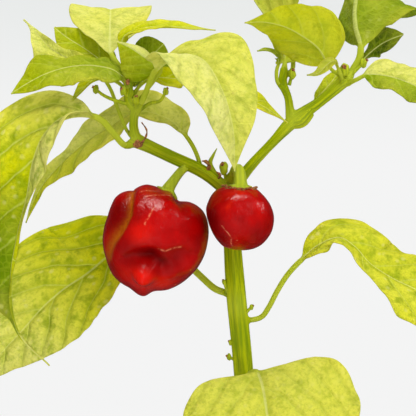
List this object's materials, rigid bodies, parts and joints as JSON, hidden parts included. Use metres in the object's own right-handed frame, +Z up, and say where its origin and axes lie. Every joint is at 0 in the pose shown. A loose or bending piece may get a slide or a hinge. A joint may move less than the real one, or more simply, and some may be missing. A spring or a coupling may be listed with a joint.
{
  "type": "potted chilli pepper plant",
  "caption": "Chilli pepper plant in a round clay pot: a forked green stem with broad pointed leaves, buds and two ripe red fruits on green stalks.",
  "frame": {"origin": "centre of the pot's foot, on the surface that it stands on", "axes": "+Z up along the pot's axis, -Y towards the front where both fruits hang, +X to the right seen from the front"},
  "size_m": [0.1895, 0.1601, 0.3615],
  "materials": {
    "pot": "matte fired clay",
    "soil": "rough, damp potting soil of bark and peat",
    "stem": "smooth, slightly waxy green stem",
    "leaf": "soft satin leaf with raised and sunk veins",
    "fruit": "glossy waxy skin",
    "fruit_stalk": "smooth pale green stalk and cap"
  },
  "bodies": {
    "root": {"pot": "pot", "soil": "soil", "stem": "stem", "leaf_left_front": "leaf", "leaf_left_rear": "leaf", "leaf_left_low": "leaf", "leaf_left_top": "leaf", "leaf_left_high": "leaf", "leaf_left_near": "leaf", "leaf_left_fold": "leaf", "leaf_left_side": "leaf", "leaf_left_back": "leaf", "leaf_left_dark": "leaf", "leaf_left_young": "leaf", "leaf_left_round": "leaf", "leaf_left_reach": "leaf", "leaf_right_tip": "leaf", "leaf_right_veil": "leaf", "leaf_right_crown": "leaf", "leaf_right_tall": "leaf", "leaf_right_dark": "leaf", "leaf_right_side": "leaf", "leaf_right_behind": "leaf", "leaf_right_hook": "leaf", "leaf_right_small": "leaf", "leaf_right_low": "leaf", "leaf_front_low": "leaf", "leaf_low_rear": "leaf", "leaf_low_right": "leaf", "leaf_low_left": "leaf", "fruit_large": "fruit", "fruit_small": "fruit", "stalk_fruit_large": "fruit_stalk", "stalk_fruit_small": "fruit_stalk"}
  },
  "joints": []
}
